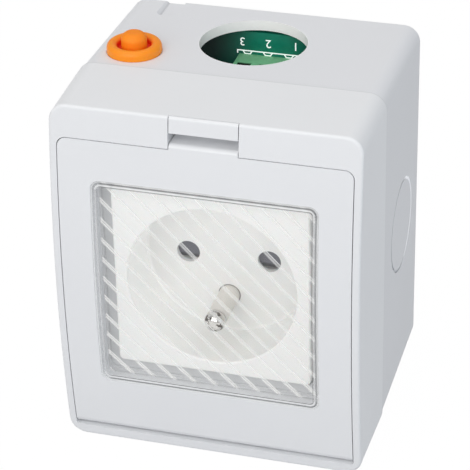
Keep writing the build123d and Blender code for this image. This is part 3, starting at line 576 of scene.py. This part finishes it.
@dataclass(frozen=True, kw_only=True)
class SolderMask(Finish):
    """Circuit board: coloured mask, lighter over the broad copper tracks below it.

    It is darker away from the middle of the cable hole, through which the light falls.
    """

    over_copper: Color
    shade: Color
    tone: float = 0.15
    cloud: Pattern = Pattern(0.002)
    roughness: float = 0.36
    gloss: Pattern = Pattern(0.002)
    coat: float = 0.3
    coat_roughness: float = 0.15
    pores: Pattern = Pattern(0.0006)
    track_pitch: float = 0.0052
    track_half_width: Ramp = Ramp(0.0008)
    track_top: Ramp = Ramp(0.024, 0.0002)
    track_bend: Pattern = Pattern(0.012, 1.0)
    track_sway: float = 0.004
    track_part: float = 0.8
    track_height: float = 0.00003
    lit_x: float = 0.0012
    lit_half_width: float = 0.0035
    lit_floor: float = 0.0332
    fade: float = 0.011

    def track(self, surface: Surface) -> Term:
        """Return where the copper tracks are."""
        x, _, z = surface.socket_axes()
        sway = self.track_sway * surface.noise(self.track_bend)
        return (x + sway).wave(self.track_pitch).below(self.track_half_width) * z.below(self.track_top)

    def tint(self, surface: Surface, base: Paint) -> Paint:
        """Lighten the tracks, and darken what is out of the light."""
        x, _, z = surface.socket_axes()
        sideways = (abs(x - self.lit_x) - self.lit_half_width) / self.fade
        down = (self.lit_floor - z) / self.fade
        base = surface.mix(self.track(surface), base, self.over_copper)
        return surface.mix(sideways.most(down).most(0.0).least(1.0), base, self.shade)

    def emboss(self, surface: Surface) -> None:
        """Raise the tracks, and add the pores of the mask."""
        pores = (1 - self.track_part) * surface.noise(self.pores)
        surface.relief(self.track_part * self.track(surface) + pores, self.track_height)


@dataclass(frozen=True, kw_only=True)
class Rubber(Finish):
    """Silicone rubber with a matt skin, which may let a little light through."""

    tone: float = 0.06
    cloud: Pattern = Pattern(0.004)
    roughness: float = 0.6
    spread: float = 0.1
    gloss: Pattern = Pattern(0.0004)
    texture: Texture = Texture.MATT
    milk_depth: float = 0.001


@dataclass(frozen=True, kw_only=True)
class BootRubber(Rubber):
    """Silicone boot of the button, with painted shade, darker and redder, down in its groove."""

    deep_shade: Color
    tone: float = 0.05
    roughness: float = 0.47
    milk: float = 0.15
    axis_x: float = -0.0246
    axis_y: float = 0.001
    groove_radius: Ramp = Ramp(0.0042, 0.0005)
    groove_top: Ramp = Ramp(0.0877, 0.0006)

    def tint(self, surface: Surface, base: Paint) -> Paint:
        """Paint darker, redder shade in the groove."""
        x, y, z = surface.axes()
        inside = (x - self.axis_x).reach(y - self.axis_y).below(self.groove_radius)
        # Painted shade in the groove round the cap.
        return surface.mix(inside * z.below(self.groove_top), base, self.deep_shade)


@dataclass(frozen=True, kw_only=True)
class Metal(Finish):
    """Plated or bare metal with fine drawing marks."""

    tone: float = 0.15
    cloud: Pattern = Pattern(0.003, 4.0)
    roughness: float = 0.31
    spread: float = 0.14
    gloss: Pattern = Pattern(0.0004, 3.0)
    texture: Texture = Texture.DRAWN

    def shine(self, surface: Surface) -> None:
        """Reflect as metal."""
        super().shine(surface)
        surface.paint(Metallic=1.0)


@dataclass(frozen=True, kw_only=True)
class PinMetal(Finish):
    """Earth pin: satin plated body with a polished tip beyond its groove.

    The tip has painted reflections, darker patches as if a room were mirrored in it, and painted shade
    darkens its groove.
    """

    tip: Color
    painted_dark: Color
    tone: float = 0.07
    cloud: Pattern = Pattern(0.0016, 3.0)
    texture: Texture = Texture.DRAWN
    tip_roughness: float = 0.08
    body_metal: float = 0.2
    shoulder: Ramp = Ramp(0.0079, 0.0002)
    groove: Span = Span(0.0079, 0.0082)
    groove_shade_part: float = 0.6
    patches: Pattern = Pattern(0.0013)
    patch_edge: Ramp = Ramp(0.58, 0.05)

    def beyond(self, surface: Surface) -> Term:
        """Return where the tip is."""
        _, depth, _ = surface.socket_axes()
        return depth.below(self.shoulder)

    def tint(self, surface: Surface, base: Paint) -> Paint:
        """Colour the tip, paint reflections on it and paint shade in its groove."""
        _, depth, _ = surface.socket_axes()
        tip = self.beyond(surface)
        patches = surface.noise(self.patches).above(self.patch_edge) * tip
        # Painted reflections on the tip and painted shade in the groove.
        painted_dark = patches.most(self.groove_shade_part * depth.between(self.groove))
        return surface.mix(painted_dark, surface.mix(tip, base, self.tip), self.painted_dark)

    def shine(self, surface: Surface) -> None:
        """Polish the tip, and leave the body satin."""
        tip = self.beyond(surface)
        surface.paint(Metallic=self.body_metal + (1 - self.body_metal) * tip)
        surface.paint(Roughness=self.roughness - (self.roughness - self.tip_roughness) * tip)


@dataclass(frozen=True, kw_only=True)
class WindowPlastic:
    """Clear cap of the lid: hardly seen, with painted light in the ribs on its back and a painted
    highlight and painted grey lines on its moulded edge.

    Its ribs bend the light rather than stop it, so they throw only a part of their shadow. A
    field whose name ends in part says how opaque a place is.
    """

    name: str
    color: Color
    painted_line_color: Color
    rib_color: Color
    rib_light: Color = (1.0, 1.0, 0.99)
    rib_glow: float = 0.46
    roughness: float = 0.12
    refraction: float = 1.49
    film_part: float = 0.03
    shadow_part: float = 0.15
    half_width: float = 0.0255
    half_height: float = 0.0259
    corner: float = 0.0022
    front: Ramp = Ramp(0.0006, 0.0002)
    back: Ramp = Ramp(0.0014, 0.0002)
    rim: Ramp = Ramp(0.00035, 0.00012)
    rim_part: float = 0.55
    outer_line: Span = Span(0.0004, 0.0008, 0.00015)
    inner_line: Span = Span(0.00125, 0.0015, 0.00012)
    line_part: float = 0.42
    band: Span = Span(0.0008, 0.0013, 0.0002)
    band_part: float = 0.3
    ends: Ramp = Ramp(0.0238, 0.0008)
    ends_line_part: float = 0.33
    ends_band_part: float = 0.4
    pale_side: Ramp = Ramp(-0.0236, 0.0008)
    pale_share: float = 0.6
    rib_pitch: float = 0.00349
    rib_shift: float = 0.0008
    rib_inset: Ramp = Ramp(0.0013)
    rib_core: Ramp = Ramp(0.0002, 0.0002)
    rib_core_part: float = 0.45
    rib_sides: Span = Span(0.00018, 0.00036, 0.00016)
    rib_sides_part: float = 0.92
    rib_seen: Ramp = Ramp(0.05, 0.05)
    strip: Ramp = Ramp(0.0212, 0.0006)
    strip_share: float = 0.28

    def inset(self, x: Term, z: Term) -> Term:
        """Return the distance inwards from the window's outline."""
        across = abs(x) - (self.half_width - self.corner)
        up = abs(z) - (self.half_height - self.corner)
        return self.corner - across.most(0.0).reach(up.most(0.0)) - across.most(up).least(0.0)

    def lines(self, x: Term, inset: Term) -> Term:
        """Return the two painted grey lines of the moulded edge, paler on the left as if lit from there.
        """
        lines = inset.between(self.outer_line).most(inset.between(self.inner_line))
        return lines * (1.0 - self.pale_share * x.below(self.pale_side))

    def edge(self, z: Term, inset: Term, lines: Term) -> Term:
        """Return how opaque the painted highlight and grey lines of the moulded edge are, more so at the
        top and the bottom.
        """
        ends = abs(z).above(self.ends)
        rim = self.rim_part * inset.below(self.rim)
        band = inset.between(self.band) * (self.band_part + self.ends_band_part * ends)
        return rim.most(lines * (self.line_part + self.ends_line_part * ends)).most(band)

    def ribs(self, x: Term, z: Term, inset: Term) -> Term:
        """Return how opaque the slanting ribs are, more so past the edge of the socket's face."""
        across = ((x + z) * math.sqrt(0.5) - self.rib_shift).wave(self.rib_pitch)
        core = self.rib_core_part * across.below(self.rib_core)
        sides = self.rib_sides_part * across.between(self.rib_sides)
        strip = abs(x).most(abs(z)).above(self.strip)
        share = (1 - self.strip_share) + self.strip_share * strip
        return inset.above(self.rib_inset) * core.most(sides) * share

    def material(self) -> bpy.types.Material:
        """Build the material."""
        surface = Surface(self.name)
        x, depth, z = surface.socket_axes()
        behind = depth - z * z / (2 * FACE_RADIUS)
        front = behind.below(self.front)
        inset = self.inset(x, z)
        lines = self.lines(x, inset)
        ribs = behind.above(self.back) * self.ribs(x, z, inset)
        opaque = (front * self.edge(z, inset, lines)).most(ribs).most(self.film_part)
        dimmed = 1.0 - (1.0 - self.shadow_part) * rays(surface.tree, "Shadow")
        on_rib = ribs.above(self.rib_seen)
        # Painted grey lines on the front of the moulded edge; the ribs take their own colour.
        base = surface.mix(on_rib, surface.mix(front * lines, self.color, self.painted_line_color), self.rib_color)
        surface.paint(Base_Color=base, Alpha=opaque * dimmed)
        surface.paint(Roughness=self.roughness, IOR=self.refraction)
        # Painted light: the ribs glow as if they gathered light.
        surface.paint(Emission_Color=surface.mix(on_rib, BLACK, self.rib_light))
        surface.paint(Emission_Strength=self.rib_glow)
        return surface.material


class Palette:
    """All finishes of the box, made once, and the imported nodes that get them."""

    def __init__(self, nodes: dict[str, bpy.types.Object]) -> None:
        """Build each material.

        Args:
            nodes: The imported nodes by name.
        """
        finishes = (
            CoverPlastic(name="cover_white", color=srgb(235, 236, 238)),
            RearPlastic(name="rear_white", color=srgb(232, 233, 236)),
            Finish(name="lid_white", color=srgb(235, 236, 238), roughness=0.36),
            ModulePlastic(name="module_white", color=srgb(225, 225, 223), gap_shade=srgb(96, 92, 88)),
            Finish(name="shutter_grey", color=srgb(100, 100, 108), roughness=0.4),
            TerminalPlastic(name="terminal_green", color=srgb(126, 200, 150), deep_shade=srgb(8, 12, 10)),
            Finish(name="black_case", color=srgb(32, 33, 35), roughness=0.35, tone=0.2),
            Finish(name="case_white", color=srgb(214, 214, 208), roughness=0.35),
            Finish(name="ferrite", color=srgb(58, 58, 60), roughness=0.55, tone=0.15),
            Finish(
                name="dipped_blue",
                color=srgb(32, 78, 150),
                roughness=0.3,
                tone=0.15,
                texture=Texture.POLISHED,
                coat=0.25,
            ),
            # The print glows with painted light, to look brighter in the shaded box.
            Finish(name="print_white", color=srgb(250, 254, 252), roughness=0.6, tone=0.0, glow=0.5),
            Rubber(name="seal_grey", color=srgb(203, 204, 205)),
            BootRubber(name="ring_orange", color=srgb(255, 148, 0), deep_shade=srgb(236, 50, 0)),
            Rubber(name="dome_orange", color=srgb(255, 142, 0), roughness=0.62, milk=0.15),
            Metal(name="brass", color=srgb(214, 178, 110)),
            Metal(name="zinc_plate", color=srgb(196, 197, 200), roughness=0.35),
            Metal(name="copper_wire", color=srgb(190, 104, 60)),
            PinMetal(
                name="pin_nickel",
                color=srgb(232, 228, 222),
                tip=srgb(214, 212, 208),
                painted_dark=srgb(104, 98, 92),
            ),
            SolderMask(
                name="board_teal",
                color=srgb(8, 140, 114),
                over_copper=srgb(20, 158, 130),
                shade=srgb(4, 58, 52),
            ),
            WindowPlastic(
                name="window_clear",
                color=srgb(245, 246, 246),
                painted_line_color=srgb(118, 120, 122),
                rib_color=srgb(172, 172, 170),
            ),
        )
        self.nodes = nodes
        self.made = {finish.name: finish.material() for finish in finishes}

    def dress(self, finish: str, names: Sequence[str]) -> None:
        """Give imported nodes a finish.

        Args:
            finish: Name of the finish.
            names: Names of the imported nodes.
        """
        for name in names:
            for slot in self.nodes[name].material_slots:
                slot.material = self.made[finish]
            LOG.info("dressed %s in %s", name, finish)


class Piece:
    """A new piece while its mesh is put together, in its place."""

    def __init__(self, name: str) -> None:
        """Start an empty mesh.

        Args:
            name: Name of the piece.
        """
        self.name = name
        self.mesh = bmesh.new()

    def add_ribbon(self, path: Sequence[tuple[float, float]], y: float, width: float) -> None:
        """Add a flat printed line with mitred corners, facing the front.

        Args:
            path: X and Z of its points, in order.
            y: Depth of its face.
            width: Width of the line.
        """
        least_cosine = 0.3
        points = [Vector(point) for point in path]
        along = [(end - start).normalized() for start, end in zip(points, points[1:])]
        rails: list[list[bmesh.types.BMVert]] = []
        for point, before, after in zip(points, along[:1] + along, along + along[-1:]):
            middle = (before + after).normalized()
            reach = width / 2 / max(middle.dot(after), least_cosine)
            side = Vector((-middle.y, middle.x)) * reach
            corners = (point + side, point - side)
            rails.append([self.mesh.verts.new((corner.x, y, corner.y)) for corner in corners])
        for (upper, lower), (next_upper, next_lower) in zip(rails, rails[1:]):
            self.mesh.faces.new((upper, lower, next_lower, next_upper))

    def add_numeral(self, numeral: str, place: Vector, height: float, thickness: float) -> None:
        """Add a printed numeral that stands on its head and faces the front.

        Args:
            numeral: What is written.
            place: Middle of the numeral.
            height: Height of the numeral.
            thickness: Thickness of the print.
        """
        curve = bpy.data.curves.new("numeral", "FONT")
        curve.body = numeral
        curve.align_x = "CENTER"
        curve.align_y = "CENTER"
        # Half a metre to each side, so that the thickness is its scale.
        curve.extrude = 0.5
        written = bpy.data.objects.new("numeral", curve)
        bpy.context.collection.objects.link(written)
        bpy.context.view_layer.update()
        graph = bpy.context.evaluated_depsgraph_get()
        flat = bpy.data.meshes.new_from_object(written.evaluated_get(graph))
        bpy.data.objects.remove(written)
        levels = [corner.co.y for corner in flat.vertices]
        scale = height / (max(levels) - min(levels))
        headstand = Matrix(((-1, 0, 0, 0), (0, 0, -1, 0), (0, -1, 0, 0), (0, 0, 0, 1)))
        size = Matrix.Diagonal((scale, scale, thickness, 1.0))
        flat.transform(Matrix.Translation(place) @ headstand @ size)
        self.mesh.from_mesh(flat)
        bpy.data.meshes.remove(flat)

    def add_wire(self, start: Matrix, radius: float, **sweep: object) -> None:
        """Sweep a round wire.

        Args:
            start: Place of the first circle round the wire.
            radius: Radius of the wire.
            sweep: Settings of the spin, such as its centre, axis, angle and steps.
        """
        circle = bmesh.ops.create_circle(self.mesh, segments=WIRE_SIDES, radius=radius, matrix=start)
        edges = dict.fromkeys(edge for corner in circle["verts"] for edge in corner.link_edges)
        bmesh.ops.spin(self.mesh, geom=list(edges), **sweep)

    def finish(self, material: bpy.types.Material, wire: bool = False) -> bpy.types.Object:
        """Turn the mesh into an object at the origin.

        Args:
            material: Its material.
            wire: Whether it is wire, whose open ends are closed and whose faces are turned
                outwards and shaded smooth.

        Returns:
            The new object.
        """
        if wire:
            open_edges = [edge for edge in self.mesh.edges if edge.is_boundary]
            bmesh.ops.holes_fill(self.mesh, edges=open_edges, sides=WIRE_SIDES)
            bmesh.ops.recalc_face_normals(self.mesh, faces=self.mesh.faces)
        data = bpy.data.meshes.new(self.name)
        self.mesh.to_mesh(data)
        self.mesh.free()
        data.materials.append(material)
        if wire:
            data.shade_smooth()
        piece = bpy.data.objects.new(self.name, data)
        bpy.context.collection.objects.link(piece)
        LOG.info("built %s with %d faces", self.name, len(data.polygons))
        return piece


@dataclass(frozen=True)
class Lamp:
    """A soft square lamp that faces the box, with its edge in metres and its power in watts."""

    name: str
    place: tuple[float, float, float]
    size: float
    power: float
    color: Color = WHITE
    aim: tuple[float, float, float] = (0.0, 0.0, 0.04)

    def hang(self) -> None:
        """Add the lamp to the scene."""
        data = bpy.data.lights.new(self.name, "AREA")
        data.color = self.color
        data.energy = self.power
        data.size = self.size
        lamp = bpy.data.objects.new(self.name, data)
        facing = (Vector(self.aim) - Vector(self.place)).to_track_quat("-Z", "Y")
        lamp.matrix_world = Matrix.Translation(self.place) @ facing.to_matrix().to_4x4()
        bpy.context.collection.objects.link(lamp)


@dataclass
class Studio:
    """Camera, floor and lamps, with angles in radians and the photo's width in pixels."""

    camera_place: tuple[float, float, float] = (0.12441, -0.41919, 0.29916)
    yaw: float = 0.29267
    pitch: float = 0.53103
    roll: float = 0.02432
    focal_pixels: float = 2201.4
    photo_pixels: int = 470
    sensor: float = 36.0
    clip_start: float = 0.01
    floor_size: float = 4.0
    floor_color: Color = srgb(176, 178, 182)
    floor_roughness: float = 0.8
    floor_light: float = 1.02
    floor_light_part: float = 0.97
    ambient: float = 0.46
    lamps: tuple[Lamp, ...] = (
        Lamp("key", (-0.06, -1.05, 0.68), 1.2, 8.7),
        Lamp("fill", (0.62, -0.16, 0.2), 0.35, 0.5, (0.72, 0.86, 1.0)),
        Lamp("rim", (-0.7, -0.45, 0.25), 0.4, 0.3),
        Lamp("top", (-0.1, 0.1, 1.1), 1.0, 2.65),
    )

    def build(self) -> None:
        """Add the camera, the floor, the world and the lamps."""
        self.add_camera()
        self.add_floor()
        self.add_world()
        for lamp in self.lamps:
            lamp.hang()
        bpy.context.scene.view_settings.view_transform = "Standard"

    def add_camera(self) -> None:
        """Place the camera at the photo's point of view."""
        data = bpy.data.cameras.new("photo_camera")
        data.sensor_width = self.sensor
        data.lens = self.focal_pixels / self.photo_pixels * self.sensor
        data.clip_start = self.clip_start
        camera = bpy.data.objects.new("photo_camera", data)
        turn = Matrix.Rotation(self.yaw, 4, "Z") @ Matrix.Rotation(math.pi / 2 - self.pitch, 4, "X")
        turn = turn @ Matrix.Rotation(-self.roll, 4, "Z")
        camera.matrix_world = Matrix.Translation(self.camera_place) @ turn
        bpy.context.collection.objects.link(camera)
        bpy.context.scene.camera = camera

    def add_floor(self) -> None:
        """Lay a pale floor that takes the shadow, shows white to the camera and is clear from below."""
        surface = Surface("floor_white")
        surface.paint(Base_Color=self.floor_color, Roughness=self.floor_roughness)
        light = surface.node("ShaderNodeEmission", Color=WHITE, Strength=self.floor_light)
        seen = rays(surface.tree, "Camera", "Glossy", "Transmission")
        above = surface.node("ShaderNodeMixShader", Fac=seen * self.floor_light_part)
        surface.feed(above.inputs[1], surface.shader.outputs[0])
        surface.feed(above.inputs[2], light.outputs[0])
        side = surface.node("ShaderNodeNewGeometry")
        below = surface.node("ShaderNodeMixShader", Fac=side.outputs["Backfacing"])
        surface.feed(below.inputs[1], above.outputs[0])
        surface.feed(below.inputs[2], surface.node("ShaderNodeBsdfTransparent").outputs[0])
        output = surface.tree.nodes["Material Output"]
        surface.feed(output.inputs["Surface"], below.outputs[0])
        floor = Piece("floor")
        bmesh.ops.create_grid(floor.mesh, x_segments=1, y_segments=1, size=self.floor_size)
        floor.finish(surface.material)

    def add_world(self) -> None:
        """Light the scene evenly and show white behind it."""
        world = bpy.data.worlds.new("studio")
        bpy.context.scene.world = world
        world.use_nodes = True
        tree = world.node_tree
        strength = self.ambient + (1.0 - self.ambient) * rays(tree, "Camera", "Transmission")
        back = tree.nodes["Background"]
        back.inputs["Color"].default_value = (*WHITE, 1.0)
        tree.links.new(strength.socket, back.inputs["Strength"])


@dataclass
class Assembly:
    """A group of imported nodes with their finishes, and the pieces that are added to it."""

    palette: Palette
    finishes: ClassVar[Dressing] = {}

    def build(self) -> None:
        """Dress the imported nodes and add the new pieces."""
        LOG.info("building the %s", type(self).__name__)
        for finish, names in self.finishes.items():
            self.palette.dress(finish, names)
        self.add_pieces()

    def add_pieces(self) -> None:
        """Add the group's new pieces, of which most groups have none."""


class Housing(Assembly):
    """Rear box and front cover, with their gasket and screws."""

    finishes: ClassVar[Dressing] = {
        "cover_white": ("front_cover",),
        "rear_white": ("rear_box",),
        "seal_grey": ("shell_seal",),
        "zinc_plate": ("shell_screws",),
    }


class Lid(Assembly):
    """Lid with its window, pins and spring, and the gasket under it."""

    finishes: ClassVar[Dressing] = {
        "lid_white": ("lid_frame",),
        "window_clear": ("lid_window",),
        "seal_grey": ("lid_seal",),
        "zinc_plate": ("hinge_pins", "hinge_spring"),
    }


@dataclass
class SocketModule(Assembly):
    """Socket module with its contacts, and a shutter spring wound in place of the imported one."""

    finishes: ClassVar[Dressing] = {
        "module_white": ("socket_body", "socket_back"),
        "shutter_grey": ("socket_shutter",),
        "zinc_plate": ("socket_screws",),
        "brass": ("live_contact", "neutral_contact", "earth_strap"),
        "pin_nickel": ("earth_pin",),
    }
    spring_wire: float = 0.0003
    spring_turns: int = 5
    spring_steps: int = 24
    shutter_travel: float = 0.0062

    def add_pieces(self) -> None:
        """Wind the shutter spring as an even coil, and hide the imported one."""
        low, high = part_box("shutter_spring")
        x, y = (low.x + high.x) / 2, (low.y + high.y) / 2
        reach = (high.x - low.x - self.spring_wire) / 2
        foot = Matrix.Translation((x + reach, y, low.z + self.spring_wire / 2))
        steps = self.spring_turns * self.spring_steps
        climb = (high.z - low.z - self.spring_wire) / steps
        coil = Piece("shutter_coil")
        coil.add_wire(
            foot @ Matrix.Rotation(math.pi / 2, 4, "X"),
            self.spring_wire / 2,
            cent=(x, y, 0),
            axis=(0, 0, 1),
            dvec=(0, 0, climb),
            angle=math.tau * self.spring_turns,
            steps=steps,
        )
        piece = coil.finish(self.palette.made["zinc_plate"], wire=True)
        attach(piece, "box")
        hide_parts("shutter_spring")
        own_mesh(piece)


@dataclass
class Electronics(Assembly):
    """Circuit boards with what stands on them, the print on the main board and the choke's winding."""

    finishes: ClassVar[Dressing] = {
        "board_teal": ("main_board", "button_board", "radio_board"),
        "terminal_green": ("terminal_block",),
        "zinc_plate": (
            "terminal_clamps",
            "terminal_screws",
            "board_screws",
            "button_board_screws",
            "radio_shield",
        ),
        "black_case": ("relay", "power_module", "smoothing_capacitors", "fuse", "board_header"),
        "case_white": ("film_capacitor",),
        "dipped_blue": ("varistor",),
        "ferrite": ("filter_coil",),
    }
    print_thickness: float = 0.00004
    line_width: float = 0.00028
    numeral_height: float = 0.002
    numeral_z: float = 0.0795
    numeral_places: tuple[tuple[str, float], ...] = (("3", -0.0064), ("2", -0.00015), ("1", 0.00635))
    pole_places: tuple[float, ...] = (-0.00521, -0.00034, 0.00473)
    outline_left: float = -0.0076
    outline_right: float = 0.008
    outline_top: float = 0.07716
    outline_low: float = 0.07638
    dip_top: float = 0.00113
    dip_foot: float = 0.00062
    coil_axis: tuple[float, float] = (-0.012, 0.0079)
    coil_start: float = 0.0184
    coil_radius: float = 0.00268
    coil_wire_radius: float = 0.00027
    coil_turns: int = 10
    coil_steps: int = 32

    def add_pieces(self) -> None:
        """Print the main board and wind the choke."""
        self.add_print()
        self.add_winding()

    def add_print(self) -> None:
        """Print the terminal's outline, with a dip at each pole, and plain numerals."""
        printed = Piece("board_print")
        front = BOARD_FRONT - self.print_thickness
        middle = BOARD_FRONT - self.print_thickness / 2
        left, right, top, low = self.outline_left, self.outline_right, self.outline_top, self.outline_low
        outline = ((left, low), (left, top), (right, top), (right, low))
        printed.add_ribbon(outline, front, self.line_width)
        for pole in self.pole_places:
            dip = (
                (pole - self.dip_top, top),
                (pole - self.dip_foot, low),
                (pole + self.dip_foot, low),
                (pole + self.dip_top, top),
            )
            printed.add_ribbon(dip, middle, self.line_width)
        for numeral, x in self.numeral_places:
            place = Vector((x, middle, self.numeral_z))
            printed.add_numeral(numeral, place, self.numeral_height, self.print_thickness)
        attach(printed.finish(self.palette.made["print_white"]), "box")

    def add_winding(self) -> None:
        """Wind the choke with lacquered wire, turn beside turn."""
        winding = Piece("choke_winding")
        x, z = self.coil_axis
        for turn in range(self.coil_turns):
            y = self.coil_start + (2 * turn + 1) * self.coil_wire_radius
            winding.add_wire(
                Matrix.Translation((x + self.coil_radius, y, z)),
                self.coil_wire_radius,
                cent=(x, y, z),
                axis=(0, 1, 0),
                angle=math.tau,
                steps=self.coil_steps,
                use_merge=True,
            )
        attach(winding.finish(self.palette.made["copper_wire"], wire=True), "box")


class PushButton(Assembly):
    """Push button with its boot, its cap and the switch below."""

    finishes: ClassVar[Dressing] = {
        "ring_orange": ("button_boot",),
        "dome_orange": ("button_cap",),
        "black_case": ("tact_switch", "switch_plunger"),
    }


def main() -> None:
    """Build the whole scene in order."""
    logging.basicConfig(level=logging.INFO, format="%(message)s")
    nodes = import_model()["nodes"]
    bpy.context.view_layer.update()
    Studio().build()
    palette = Palette(nodes)
    for assembly in (Housing, Lid, SocketModule, Electronics, PushButton):
        assembly(palette).build()


if __name__ == "__main__":
    main()
